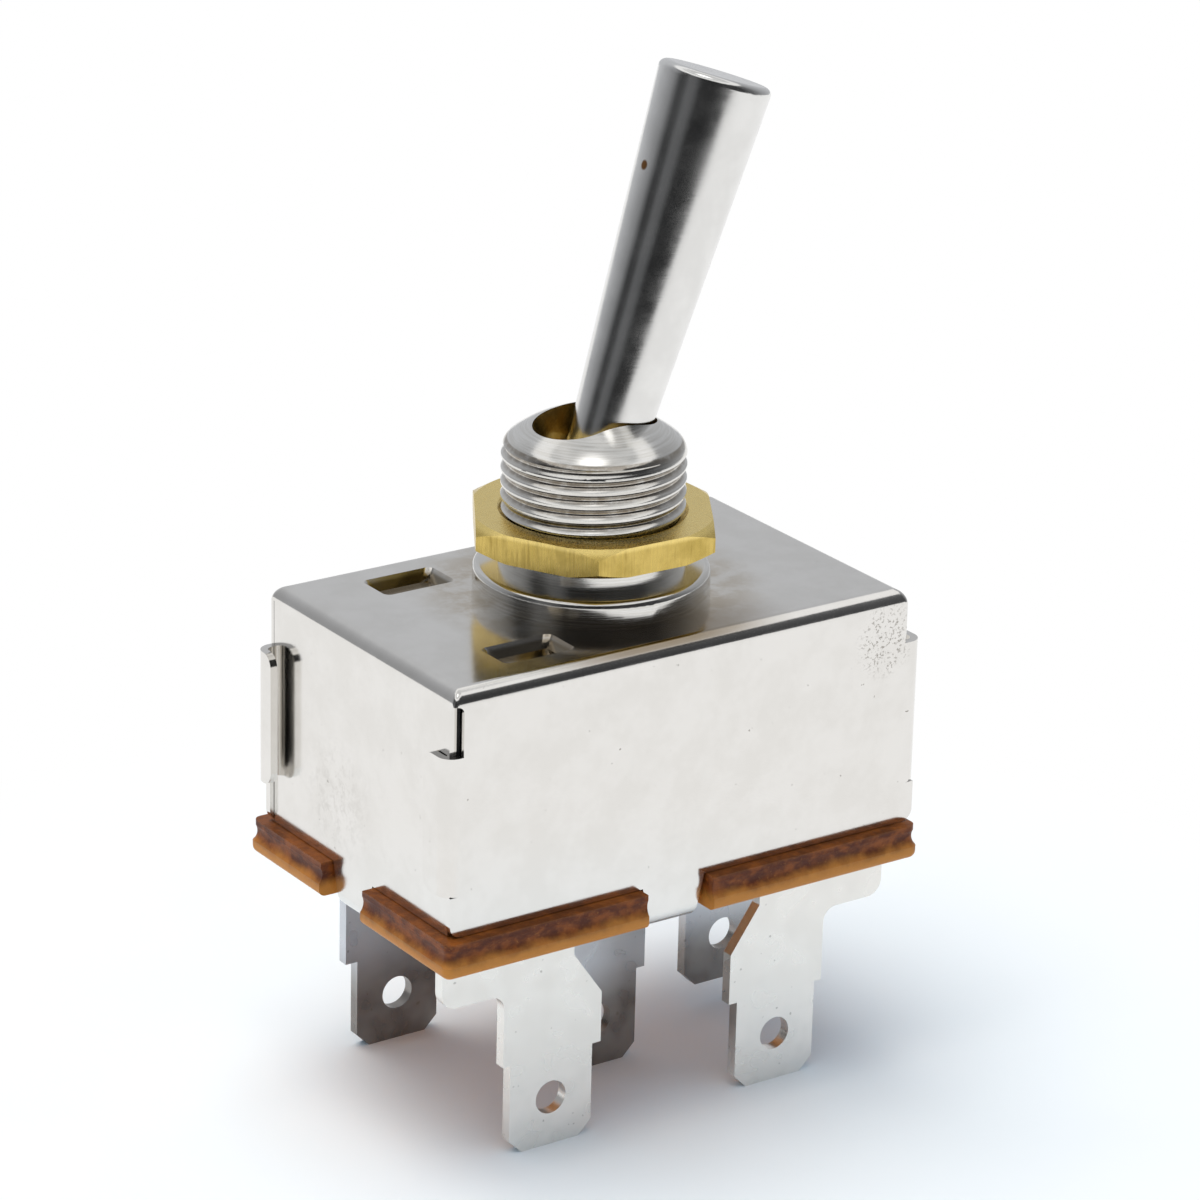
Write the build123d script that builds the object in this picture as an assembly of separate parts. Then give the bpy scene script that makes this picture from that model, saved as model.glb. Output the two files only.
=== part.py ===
from build123d import *
from math import cos, radians, sin, tan
import os

os.makedirs("parts", exist_ok=True)

# Power take-off switch, in millimetres. It stands on its blade tips at z = 0,
# X runs along the case, the photographed long face looks to -Y and Z is up.

# folded metal case
case_length = 35.0
case_width = 22.0
case_top = 33.5
case_bottom = 17.1
sheet = 0.5
bend_radius = 1.0
upright_round = 0.25
corner_slot_drop = 0.95
corner_slot_round = 0.5
open_slot_width = 0.7
slit_corner_radius = 0.8
edge_land = 0.1

# ears of the long sides, one set of sizes for each corner
ear_reach = 2.6
ear_reach_rear_left = 2.0
ear_round = 0.9
ear_gap_open = 0.08
ear_gap_front_right = 0.85
ear_gap_rear_left = 0.65
foot_out_open = 0.15
foot_out_front_right = 1.0
foot_out_rear_left = 0.3
ear_rise = 2.75
ear_rise_rear_left = 3.2
ear_end_open = 12.05
ear_end_front_right = 12.7
ear_end_rear_left = 12.3

# tabs folded in under the base
long_tab_root = 4.8
long_tab_end = 3.4
long_tab_shift = 0.65
short_tab_root = 4.7
short_tab_end = 3.3
short_tab_shift = 0.7
tab_drop = 2.95
tab_fold = 1.4
tab_bend = 0.9
tab_overlap = 0.5

# pressed dimples
dimple_x = -9.5
dimple_y = 6.95
dimple_length = 5.3
dimple_width = 3.1
dimple_depth = 0.75
dimple_corner = 0.5
dimple_taper = 35.0

# clearances
fit_gap = 0.05
liner_gap = 0.03
turning_gap = 0.03
seat_gap = 0.02
slide_gap = 0.1

# threaded bushing, heights counted from the top of the case
spigot_radius = 5.6
lip_radius = 6.3
lip_thickness = 0.5
flange_radius = 7.7
flange_height = 1.8
flange_round = 0.45
neck_radius = 6.05
neck_top = 3.5
mesh_radius = 5.6
crest_radius = 5.97
dome_radius = 9.0
dome_top = 12.15
dome_shoulder = 1.3
slot_radius = 2.75
slot_half_low = 0.6
slot_half_high = 2.0
slot_run_out = 0.3
upper_bore_radius = 3.45
upper_bore_end = 9.1
lower_bore_radius = 4.8

# hex nut
nut_flats = 15.2
nut_height = 1.95
nut_turn = -1.7
nut_chamfer_radius = 7.9
nut_chamfer_angle = 30.0
nut_sink_radius = 6.15
nut_sink_depth = 0.35

# lever and its cross pin
pivot_height = 7.1
lever_tilt = 18.6
lever_length = 27.3
lever_tip_radius = 3.72
lever_waist_radius = 2.33
lever_tip_round = 0.5
ball_radius = 3.3
stub_radius = 1.3
stub_neck_radius = 1.1
stub_taper_top = 4.0
stub_taper_end = 2.5
drive_ball_radius = 1.7
drive_arm = 13.95
pin_radius = 0.8
pin_half_length = 4.7
pin_chamfer = 0.15
sleeve_wall = 0.47

# moulded base
base_bottom = 14.7
foot_overhang = 1.0
foot_round = 0.5
rim_overhang = 0.85
rim_split = 15.9
flange_corner = 0.6
groove_radius = 0.95
groove_height = 16.25
groove_reach = 0.75
plug_rise = 2.8
plug_round = 0.6
floor_rise = 5.6
tray_wall_end = 1.5
tray_wall_side = 1.25
cavity_round = 1.0
tab_play = 0.15

# liner and inner cover
liner_thickness = 0.22
liner_round = 0.6
liner_top_gap = 0.6
cover_top_gap = 0.1
cover_rim_height = 0.7
cover_rim_width = 1.3
cover_rim_round = 0.5
cover_slot_half_length = 5.9
cover_slot_half_width = 2.2
notch_length = 3.4
notch_width = 2.8
notch_depth = 0.7

# terminals
blade_width = 6.3
strip = 0.8
blade_chamfer = 0.95
hole_height = 3.35
hole_radius = 1.15
shoulder_height = 6.35
tongue_width = 5.2
strip_bend = 1.2
fold_relief = 0.5
pair_inset_x = 8.6
pair_inset_y = 1.75
pair_tongue_in = -1.6
pair_arm_low = 11.5
pair_arm_end = 8.4
pair_arm_fillet = 1.0
pair_arm_round = 1.1
pair_slant_low = 9.9
pair_slant_high = 13.0
pair_outer_step = 0.55
pair_inner_step = 0.65
rear_left_inset_x = 8.5
rear_left_inset_y = 1.9
rear_left_outer_step = 0.9
rear_left_inner_step = 0.6
centre_y = -1.4
centre_left_step = 0.6
centre_right_step = 0.65
rear_right_inset_x = 4.2
rear_right_y = 2.8
rear_right_tip = 1.45
rear_right_step = 0.3
pad_half = 2.0

# contact carriage and what it carries
carriage_length = 15.2
carriage_height = 7.25
carriage_round = 0.6
drive_slot_half = 1.8
drive_slot_width = 4.4
drive_slot_depth = 3.4
track_inset = 3.55
bridge_end = 1.45
bridge_width = 3.8
bridge_round = 0.8
bridge_thickness = 0.8
boss_low_radius = 1.2
boss_high_radius = 0.9
boss_height = 0.5
pocket_play = 0.15
pocket_depth = 2.05
button_radius = 1.3
button_height = 0.6
button_round = 0.25
shank_radius = 0.6
shank_gap = 0.01
rivet_radius = 0.95
rivet_height = 0.2
spring_bore_radius = 2.0
spring_bore_height = 4.2
spring_coil_radius = 1.5
spring_wire_radius = 0.2
spring_turns = 5
leaf_thickness = 0.3
leaf_half_length = 6.6
leaf_edge = 1.3
leaf_bar = 1.9
leaf_rise = 1.0
leaf_crown_half = 1.0
leaf_crown_drop = 0.2
leaf_foot = 0.2
leaf_strip_width = 2.4
peg_radius = 0.5
peg_height = 0.9
peg_root = 0.4
peg_x = 5.7

# sizes that follow from the ones above
half_length = case_length / 2
half_width = case_width / 2
inner_length = case_length - 2 * sheet
inner_width = case_width - 2 * sheet
case_height = case_top - case_bottom
corner_slot_top = case_top - corner_slot_drop
seam_y = half_width - sheet - fit_gap
pivot_z = case_top + pivot_height
bush_bottom = case_top - sheet - lip_thickness
pin_hole_radius = pin_radius + turning_gap
nut_bottom = case_top + neck_top + fit_gap
nut_top = nut_bottom + nut_height
thread_start = nut_top + fit_gap
dome_centre = case_top + dome_top - dome_radius
dome_edge = dome_centre + (dome_radius**2 - crest_radius**2) ** 0.5
rim_top = case_bottom - fit_gap
plug_length = inner_length - 2 * fit_gap
plug_width = inner_width - 2 * fit_gap
plug_top = case_bottom + plug_rise
pad_top = base_bottom + floor_rise
pad_bottom = pad_top - strip
liner_length = inner_length - 2 * liner_gap
liner_width = inner_width - 2 * liner_gap
liner_bottom = plug_top + fit_gap
liner_top = case_top - sheet - liner_top_gap
tray_length = liner_length - 2 * liner_thickness - 2 * fit_gap
tray_width = liner_width - 2 * liner_thickness - 2 * fit_gap
cavity_length = tray_length - 2 * tray_wall_end
cavity_width = tray_width - 2 * tray_wall_side
cover_rim_top = case_top - sheet - cover_top_gap
cover_top = cover_rim_top - cover_rim_height
pair_x = half_length - pair_inset_x
pair_y = pair_inset_y - half_width
rear_left_x = rear_left_inset_x - half_length
rear_left_y = half_width - rear_left_inset_y
rear_right_x = half_length - rear_right_inset_x
tongue_half = tongue_width / 2
pair_tongue_out = pair_tongue_in + tongue_width
seat_z = base_bottom - seat_gap
travel = drive_arm * sin(radians(lever_tilt))
carriage_x = -travel
carriage_width = cavity_width - 2 * slide_gap
carriage_bottom = pad_top + fit_gap
carriage_top = carriage_bottom + carriage_height
tray_top = carriage_top + leaf_rise
track_y = carriage_width / 2 - track_inset
pad_end = track_y - pad_half
long_pad_end = track_y + pad_half
leaf_half_width = track_y + leaf_edge
bridge_bottom = pad_top + button_height
bridge_top = bridge_bottom + bridge_thickness
button_spread = travel
bridge_length = 2 * (button_spread + bridge_end)
pocket_top = carriage_bottom + pocket_depth
spring_bore_top = pocket_top + spring_bore_height


def block(x0, x1, y0, y1, z0, z1):
    """Box from its low and high corners."""
    size = Box(x1 - x0, y1 - y0, z1 - z0)
    return Pos((x0 + x1) / 2, (y0 + y1) / 2, (z0 + z1) / 2) * size


def upright(x, y, z0, z1, radius):
    """Upright cylinder between two heights."""
    return Pos(x, y, (z0 + z1) / 2) * Cylinder(radius, z1 - z0)


def tube_x(profile, x0, x1):
    """Extrude a sketch drawn with Y to the right and Z up along X."""
    plane = Plane(origin=(x0, 0, 0), x_dir=(0, 1, 0), z_dir=(1, 0, 0))
    return extrude(plane * profile, x1 - x0, dir=(1, 0, 0))


def tube_y(profile, y0, y1):
    """Extrude a sketch drawn with X to the right and Z up along Y."""
    plane = Plane(origin=(0, y0, 0), x_dir=(1, 0, 0), z_dir=(0, -1, 0))
    return extrude(plane * profile, y1 - y0, dir=(0, 1, 0))


def round_vertex(face, u, v, radius):
    """Round the corner of a sketch that lies nearest to a point."""
    vertex = face.vertices().sort_by_distance(Vector(u, v, 0))[0]
    return fillet(vertex, radius)


def rounded_corner(u0, u1, v0, v1, corner, radius):
    """Rectangle with one rounded corner, as a sketch."""
    face = Pos((u0 + u1) / 2, (v0 + v1) / 2) * Rectangle(abs(u1 - u0), abs(v1 - v0))
    return round_vertex(face, corner[0], corner[1], radius)


def angle_strip(u_face, u_end, v_face, v_end, thickness, radius):
    """Bent strip: one leg along v on u_face, one leg along u on v_face."""
    su = 1 if u_end > u_face else -1
    sv = 1 if v_end > v_face else -1
    outer = rounded_corner(u_face, u_end, v_face, v_end, (u_face, v_face), radius)
    ui = u_face + su * thickness
    vi = v_face + sv * thickness
    inner = rounded_corner(ui, u_end + su, vi, v_end + sv, (ui, vi), radius - thickness)
    return outer - inner


def rounded_block(length, width, z0, z1, radius):
    """Upright block with rounded vertical edges."""
    return Pos(0, 0, z0) * extrude(RectangleRounded(length, width, radius), z1 - z0)


def relief(u, v, su, sv, size):
    """Triangle that takes a corner off, drawn from the corner's point."""
    return Polygon((u, v), (u + su * size, v), (u, v + sv * size), align=None)


def tab_outline(centre, root, end, low, high):
    """Tapered tab below the edge of a side, as a sketch."""
    return Polygon(
        (centre - root / 2, high),
        (centre - root / 2, case_bottom),
        (centre - end / 2, low),
        (centre + end / 2, low),
        (centre + root / 2, case_bottom),
        (centre + root / 2, high),
        align=None,
    )


def save(shape, name):
    """Write one node."""
    shape.label = name
    export_step(shape, f"parts/{name}.step")


# Case: a rounded top and four sides, with a seam at each upright corner.
middle_z = (case_bottom + case_top) / 2
outer_box = Pos(0, 0, middle_z) * Box(case_length, case_width, case_height)
outer_box = fillet(outer_box.edges().filter_by(Axis.Z), upright_round)
outer_box = fillet(outer_box.faces().sort_by(Axis.Z)[-1].edges(), bend_radius)
hollow = Pos(0, 0, middle_z - sheet) * Box(inner_length, inner_width, case_height)
hollow = fillet(hollow.faces().sort_by(Axis.Z)[-1].edges(), bend_radius - sheet)
case = outer_box - hollow

# Two opposite corners are open as slots, the other two are closed by the long side's end.
# Each row: x side, y side, open, ear gap, reach, rise, end and how far the foot stands out.
corners = (
    (-1, -1, True, ear_gap_open, ear_reach, ear_rise, ear_end_open, foot_out_open),
    (1, 1, True, ear_gap_open, ear_reach, ear_rise, ear_end_open, foot_out_open),
    (
        1,
        -1,
        False,
        ear_gap_front_right,
        ear_reach,
        ear_rise,
        ear_end_front_right,
        foot_out_front_right,
    ),
    (
        -1,
        1,
        False,
        ear_gap_rear_left,
        ear_reach_rear_left,
        ear_rise_rear_left,
        ear_end_rear_left,
        foot_out_rear_left,
    ),
)
for sx, sy, is_open, ear_gap, reach, rise, ear_end, foot_out in corners:
    ear_low = case_bottom + rise
    ear_high = case_bottom + ear_end
    slot_x = half_length - open_slot_width if is_open else half_length
    y_lo, y_hi = sorted((sy * seam_y, sy * (half_width - sheet)))
    x_lo, x_hi = sorted((sx * (inner_length / 2 - sheet), sx * (half_length + sheet)))
    case -= block(x_lo, x_hi, y_lo, y_hi, case_bottom - sheet, corner_slot_top)
    if is_open:
        slot_face = rounded_corner(
            sx * slot_x,
            sx * (half_length + bend_radius),
            case_bottom - bend_radius,
            corner_slot_top,
            (sx * slot_x, corner_slot_top),
            corner_slot_round,
        )
        y_lo, y_hi = sorted((sy * seam_y, sy * (half_width + sheet)))
        case -= tube_y(slot_face, y_lo, y_hi)
        side_end = relief(sx * inner_length / 2, sy * seam_y, sx, -sy, sheet - edge_land)
        case -= Pos(0, 0, case_bottom - sheet) * extrude(side_end, corner_slot_top - case_bottom + sheet)

    # Below the ear the long side runs on as a foot to a narrow slit at the corner.
    foot_end = half_length + foot_out
    foot_face = rounded_corner(
        sx * (half_length - 2 * bend_radius),
        sx * foot_end,
        case_bottom,
        ear_low,
        (sx * foot_end, case_bottom),
        slit_corner_radius,
    )
    y_lo, y_hi = sorted((sy * (half_width - sheet), sy * half_width))
    foot = tube_y(foot_face, y_lo, y_hi)
    if is_open:
        foot_bevel = relief(sx * foot_end, sy * (half_width - sheet), -sx, sy, sheet - edge_land)
        foot -= Pos(0, 0, case_bottom - sheet) * extrude(foot_bevel, rise + sheet)
    case += foot

    # The ear wraps round the corner onto the short side.
    x_face = sx * (half_length + sheet + ear_gap)
    y_tip = sy * (half_width - reach)
    wrap = angle_strip(x_face, sx * (slot_x - bend_radius), sy * half_width, y_tip, sheet, bend_radius)
    ear = Pos(0, 0, ear_low) * extrude(wrap, ear_high - ear_low)
    tip_edges = [e for e in ear.edges().filter_by(Axis.X) if abs(e.center().Y - y_tip) < fit_gap]
    case += fillet(tip_edges, ear_round)

# A tapered tab on each side folds in under the base.
tab_low = case_bottom - tab_drop
tab_high = case_bottom + tab_overlap
for sy in (-1, 1):
    bent = angle_strip(sy * half_width, sy * (half_width - tab_fold), tab_low, tab_high, sheet, tab_bend)
    middle = sy * long_tab_shift
    outline = tab_outline(middle, long_tab_root, long_tab_end, tab_low, tab_high)
    strip_body = tube_x(bent, middle - long_tab_root, middle + long_tab_root)
    case += strip_body & tube_y(outline, -case_width, case_width)
for sx in (-1, 1):
    bent = angle_strip(sx * half_length, sx * (half_length - tab_fold), tab_low, tab_high, sheet, tab_bend)
    middle = -sx * short_tab_shift
    outline = tab_outline(middle, short_tab_root, short_tab_end, tab_low, tab_high)
    strip_body = tube_y(bent, middle - short_tab_root, middle + short_tab_root)
    case += strip_body & tube_x(outline, -case_length, case_length)

# Two pressed dimples in the top, on the left only.
dimple = RectangleRounded(dimple_length, dimple_width, dimple_corner)
for sy in (-1, 1):
    mouth = Plane(origin=(dimple_x, sy * dimple_y, case_top), z_dir=(0, 0, -1))
    cup_mouth = Plane(origin=(dimple_x, sy * dimple_y, case_top - sheet), z_dir=(0, 0, -1))
    case += extrude(cup_mouth * dimple, dimple_depth, taper=dimple_taper)
    case -= extrude(mouth * dimple, dimple_depth, taper=dimple_taper)
case -= upright(0, 0, case_top - 2 * sheet, case_top + sheet, spigot_radius + fit_gap)
save(case, "case")

# Bushing: flange, neck, thread drawn at its crest, spherical dome and rolled lip.
below_dome = Polyline(
    (0, case_top + dome_top),
    (0, bush_bottom),
    (lip_radius, bush_bottom),
    (lip_radius, case_top - sheet),
    (spigot_radius, case_top - sheet),
    (spigot_radius, case_top),
    (flange_radius, case_top),
    (flange_radius, case_top + flange_height),
    (neck_radius, case_top + flange_height),
    (neck_radius, case_top + neck_top),
    (mesh_radius, case_top + neck_top),
    (mesh_radius, thread_start),
    (crest_radius, thread_start),
    (crest_radius, dome_edge),
)
dome_mid = dome_radius * sin(radians(20))
dome_arc = ThreePointArc(
    (crest_radius, dome_edge),
    (dome_mid, dome_centre + dome_radius * cos(radians(20))),
    (0, case_top + dome_top),
)
bush_half = make_face(below_dome.edges() + dome_arc.edges())
bush_half = round_vertex(bush_half, flange_radius, case_top + flange_height, flange_round)
bush_half = round_vertex(bush_half, crest_radius, dome_edge, dome_shoulder)
bushing = revolve(Plane.XZ * bush_half, Axis.Z)
sleeve_stop = pivot_z + pin_radius + seat_gap
upper_end = case_top + upper_bore_end
bushing -= upright(0, 0, bush_bottom - sheet, sleeve_stop, lower_bore_radius)
bushing -= upright(0, 0, sleeve_stop - sheet, upper_end, upper_bore_radius)
slot_low = SlotCenterToCenter(2 * slot_half_low, 2 * slot_radius)
slot_high = SlotCenterToCenter(2 * slot_half_high, 2 * slot_radius)
low_plane = Plane.XY.offset(upper_end - slot_run_out)
high_plane = Plane.XY.offset(case_top + dome_top + slot_run_out)
bushing -= loft([low_plane * slot_low, high_plane * slot_high])
save(bushing, "bushing")

# Nut: hexagon with the corners of both faces turned off and a countersunk bore.
nut_corner = nut_flats / 2 / cos(radians(30)) + fit_gap
nut_slope = (nut_corner - nut_chamfer_radius) * tan(radians(nut_chamfer_angle))
nut_bore_radius = mesh_radius + fit_gap
hexagon = RegularPolygon(nut_flats / 2, 6, major_radius=False)
nut = Pos(0, 0, nut_bottom) * Rot(0, 0, nut_turn) * extrude(hexagon, nut_height)
nut_half = Polyline(
    (0, nut_bottom),
    (nut_chamfer_radius, nut_bottom),
    (nut_corner, nut_bottom + nut_slope),
    (nut_corner, nut_top - nut_slope),
    (nut_chamfer_radius, nut_top),
    (0, nut_top),
    close=True,
)
nut &= revolve(Plane.XZ * make_face(nut_half), Axis.Z)
nut -= upright(0, 0, nut_bottom - sheet, nut_top + sheet, nut_bore_radius)
sink_top_radius = 2 * nut_sink_radius - nut_bore_radius
nut -= Pos(0, 0, nut_top) * Cone(nut_bore_radius, sink_top_radius, 2 * nut_sink_depth)
save(nut, "hex_nut")

# Lever: turned in one piece about its own axis, then tilted on the pivot.
bat = Polyline(
    (0, 0),
    (lever_waist_radius, 0),
    (lever_tip_radius, lever_length),
    (0, lever_length),
    close=True,
)
bat = round_vertex(make_face(bat), lever_tip_radius, lever_length, lever_tip_round)
stub = Polyline(
    (0, 0),
    (stub_radius, 0),
    (stub_radius, stub_taper_top - drive_arm),
    (stub_neck_radius, stub_taper_end - drive_arm),
    (stub_neck_radius, -drive_arm),
    (0, -drive_arm),
    close=True,
)
lever = revolve(Plane.XZ * bat, Axis.Z) + revolve(Plane.XZ * make_face(stub), Axis.Z)
lever += Sphere(ball_radius)
lever += Pos(0, 0, -drive_arm) * Sphere(drive_ball_radius)
lever -= Rot(90, 0, 0) * Cylinder(pin_hole_radius, 4 * ball_radius)
lever = Pos(0, 0, pivot_z) * Rot(0, lever_tilt, 0) * lever
save(lever, "lever")

pivot_pin = Pos(0, 0, pivot_z) * Rot(90, 0, 0) * Cylinder(pin_radius, 2 * pin_half_length)
pivot_pin = chamfer(pivot_pin.edges(), pin_chamfer)
save(pivot_pin, "pivot_pin")

# Sleeve: fills the bushing's lower bore, with a seat for each end of the pin.
sleeve_radius = lower_bore_radius - turning_gap
sleeve_top = sleeve_stop - fit_gap
sleeve = upright(0, 0, bush_bottom, sleeve_top, sleeve_radius)
sleeve -= upright(0, 0, bush_bottom - sheet, sleeve_top + sheet, sleeve_radius - sleeve_wall)
sleeve -= Pos(0, 0, pivot_z) * Rot(90, 0, 0) * Cylinder(pin_hole_radius, 4 * sleeve_radius)
sleeve -= block(
    -pin_hole_radius,
    pin_hole_radius,
    -2 * sleeve_radius,
    2 * sleeve_radius,
    pivot_z,
    pivot_z + 2 * pin_radius,
)
save(sleeve, "pivot_sleeve")


def tongue_space(x0, x1, y, end):
    """Space in the base for a terminal's tongue and its folded pad."""
    side = 1 if end > y else -1
    edge_y = y + side * (strip / 2 + fit_gap)
    back_y = y - side * (strip / 2 + fit_gap)
    y_lo, y_hi = sorted((back_y, edge_y))
    x0 -= fit_gap
    x1 += fit_gap
    space = block(x0, x1, y_lo, y_hi, base_bottom - strip, pad_top + fit_gap)
    space += tube_x(relief(edge_y, pad_bottom - fit_gap, side, -1, fold_relief), x0, x1)
    y_lo, y_hi = sorted((back_y, end + side * fit_gap))
    space += block(x0, x1, y_lo, y_hi, pad_bottom - fit_gap, pad_top + fit_gap)
    return space


# Base: grooved flange under the case, plug inside it and a tray for the contacts.
foot_length = case_length + 2 * foot_overhang
foot_width = case_width + 2 * foot_overhang
rim_length = case_length + 2 * rim_overhang
rim_width = case_width + 2 * rim_overhang
lower_flange = rounded_block(foot_length, foot_width, base_bottom, rim_split, flange_corner)
lower_flange = fillet(lower_flange.faces().sort_by(Axis.Z)[0].edges(), foot_round)
base = lower_flange + rounded_block(rim_length, rim_width, rim_split, rim_top, flange_corner)
groove_out = groove_reach + groove_radius
groove_path = Pos(0, 0, groove_height) * RectangleRounded(
    case_length + 2 * groove_out,
    case_width + 2 * groove_out,
    flange_corner + groove_out - rim_overhang,
)
groove_wire = groove_path.faces()[0].outer_wire()
groove_plane = Plane(origin=groove_wire @ 0, z_dir=groove_wire % 0)
base -= sweep(groove_plane * Circle(groove_radius), path=groove_wire)
base += rounded_block(plug_length, plug_width, base_bottom + sheet, plug_top, plug_round)
base += rounded_block(tray_length, tray_width, plug_top - sheet, tray_top, plug_round)
base -= rounded_block(cavity_length, cavity_width, pad_top, tray_top + sheet, cavity_round)

# Each tab passes the base in a notch, and the base's edge gives way to the fold.
edge = half_length - sheet - fit_gap
side_edge = half_width - sheet - fit_gap
half = long_tab_root / 2 + tab_play
for sy in (-1, 1):
    y_lo, y_hi = sorted((sy * side_edge, sy * (half_width + 2 * foot_overhang)))
    middle = sy * long_tab_shift
    base -= block(middle - half, middle + half, y_lo, y_hi, base_bottom - sheet, rim_top + sheet)
    fold_corner = relief(sy * side_edge, base_bottom, -sy, 1, fold_relief)
    base -= tube_x(fold_corner, middle - half, middle + half)
half = short_tab_root / 2 + tab_play
for sx in (-1, 1):
    x_lo, x_hi = sorted((sx * edge, sx * (half_length + 2 * foot_overhang)))
    middle = -sx * short_tab_shift
    base -= block(x_lo, x_hi, middle - half, middle + half, base_bottom - sheet, rim_top + sheet)
    fold_corner = relief(sx * edge, base_bottom, -sx, 1, fold_relief)
    base -= tube_y(fold_corner, middle - half, middle + half)

base -= tongue_space(-pair_x - pair_tongue_out, -pair_x - pair_tongue_in, pair_y, -pad_end)
base -= tongue_space(pair_x + pair_tongue_in, pair_x + pair_tongue_out, pair_y, -pad_end)
base -= tongue_space(-tongue_half, tongue_half, centre_y, -long_pad_end)
base -= tongue_space(rear_left_x - tongue_half, rear_left_x + tongue_half, rear_left_y, pad_end)
base -= tongue_space(rear_right_x - tongue_half, rear_right_x + tongue_half, rear_right_y, long_pad_end)
base -= block(
    -tongue_half - fit_gap,
    rear_right_x,
    rear_right_y + strip,
    long_pad_end + fit_gap,
    pad_bottom - fit_gap,
    pad_top + fit_gap,
)
save(base, "base")

# Liner: insulating strip wrapped round the tray inside the case.
liner = rounded_block(liner_length, liner_width, liner_bottom, liner_top, liner_round)
liner -= rounded_block(
    liner_length - 2 * liner_thickness,
    liner_width - 2 * liner_thickness,
    liner_bottom - sheet,
    liner_top + sheet,
    liner_round - liner_thickness,
)
save(liner, "case_liner")

# Inner cover: closes the tray, guides the lever and holds the detent notches.
cover = rounded_block(tray_length, tray_width, tray_top, cover_rim_top, plug_round)
cover -= rounded_block(
    tray_length - 2 * cover_rim_width,
    tray_width - 2 * cover_rim_width,
    cover_top,
    cover_rim_top + sheet,
    cover_rim_round,
)
cover_slot = SlotOverall(2 * cover_slot_half_length, 2 * cover_slot_half_width)
cover -= Pos(0, 0, tray_top - sheet) * extrude(cover_slot, cover_rim_top - tray_top + 2 * sheet)
for sx in (-1, 1):
    for sy in (-1, 1):
        notch = Box(notch_length, notch_width, 2 * notch_depth)
        cover -= Pos(sx * travel, sy * track_y, tray_top) * notch
save(cover, "inner_cover")


def blade_points(left_step, right_step, tip_z):
    """Outline of a blade from its left shoulder round the tip to its right shoulder."""
    blade_half = blade_width / 2
    step_z = tip_z + shoulder_height
    return [
        (-blade_half - left_step, step_z),
        (-blade_half, step_z),
        (-blade_half, tip_z + blade_chamfer),
        (blade_chamfer - blade_half, tip_z),
        (blade_half - blade_chamfer, tip_z),
        (blade_half, tip_z + blade_chamfer),
        (blade_half, step_z),
        (blade_half + right_step, step_z),
    ]


def finish_terminal(face, x, y, tip_z, x0, x1, end):
    """Give the outline its thickness, add the tongue and its pad, and punch the hole."""
    side = 1 if end > y else -1
    plate = tube_y(face, y - strip / 2, y + strip / 2)
    fold = angle_strip(y - side * strip / 2, end, pad_top, base_bottom - strip, strip, strip_bend)
    punch = Pos(x, y, tip_z + hole_height) * Rot(90, 0, 0) * Cylinder(hole_radius, 4 * strip)
    return plate + tube_x(fold, x0, x1) - punch


# Front pair: blade, stepped shoulder, outward arm under the base and a slanted inner side.
for sx, name in ((-1, "terminal_front_left"), (1, "terminal_front_right")):
    arm_x = blade_width / 2 + pair_outer_step
    points = blade_points(pair_inner_step, pair_outer_step, 0)
    points += [
        (arm_x, pair_arm_low),
        (pair_arm_end, pair_arm_low),
        (pair_arm_end, seat_z),
        (pair_tongue_in, seat_z),
        (pair_tongue_in, pair_slant_high),
        (-blade_width / 2 - pair_inner_step, pair_slant_low),
    ]
    outline = [(sx * (pair_x + u), z) for u, z in points]
    face = make_face(Polyline(*outline, close=True))
    face = round_vertex(face, sx * (pair_x + arm_x), pair_arm_low, pair_arm_fillet)
    face = round_vertex(face, sx * (pair_x + pair_arm_end), pair_arm_low, pair_arm_round)
    x0, x1 = sorted((sx * (pair_x + pair_tongue_in), sx * (pair_x + pair_tongue_out)))
    save(finish_terminal(face, sx * pair_x, pair_y, 0, x0, x1, -pad_end), name)


def plain_terminal(x, y, tip_z, left_step, right_step, end):
    """Blade with a stepped shoulder up to the base."""
    points = blade_points(left_step, right_step, tip_z)
    points += [
        (blade_width / 2 + right_step, seat_z),
        (-blade_width / 2 - left_step, seat_z),
    ]
    face = make_face(Polyline(*[(x + u, z) for u, z in points], close=True))
    return finish_terminal(face, x, y, tip_z, x - tongue_half, x + tongue_half, end)


rear_left = plain_terminal(
    rear_left_x,
    rear_left_y,
    0,
    rear_left_outer_step,
    rear_left_inner_step,
    pad_end,
)
save(rear_left, "terminal_rear_left")
centre = plain_terminal(0, centre_y, 0, centre_left_step, centre_right_step, -long_pad_end)
save(centre, "terminal_centre")

# The rear right terminal carries on as a strap to the middle of its contact track.
rear_right = plain_terminal(
    rear_right_x,
    rear_right_y,
    rear_right_tip,
    rear_right_step,
    rear_right_step,
    long_pad_end,
)
rear_right += block(
    -tongue_half,
    rear_right_x,
    rear_right_y + strip + fit_gap,
    long_pad_end,
    pad_bottom,
    pad_top,
)
save(rear_right, "terminal_rear_right")

# Carriage: slides along the tray floor, driven by the ball on the lever.
carriage = block(
    carriage_x - carriage_length / 2,
    carriage_x + carriage_length / 2,
    -carriage_width / 2,
    carriage_width / 2,
    carriage_bottom,
    carriage_top,
)
carriage = fillet(carriage.edges().filter_by(Axis.Z), carriage_round)
carriage -= block(
    carriage_x - drive_slot_half,
    carriage_x + drive_slot_half,
    -drive_slot_width / 2,
    drive_slot_width / 2,
    carriage_top - drive_slot_depth,
    carriage_top + sheet,
)
pocket_x = bridge_length / 2 + pocket_play
pocket_y = bridge_width / 2 + pocket_play
for sy in (-1, 1):
    y = sy * track_y
    carriage -= block(
        carriage_x - pocket_x,
        carriage_x + pocket_x,
        y - pocket_y,
        y + pocket_y,
        carriage_bottom - sheet,
        pocket_top,
    )
    carriage -= upright(carriage_x, y, pocket_top - sheet, spring_bore_top, spring_bore_radius)
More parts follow.
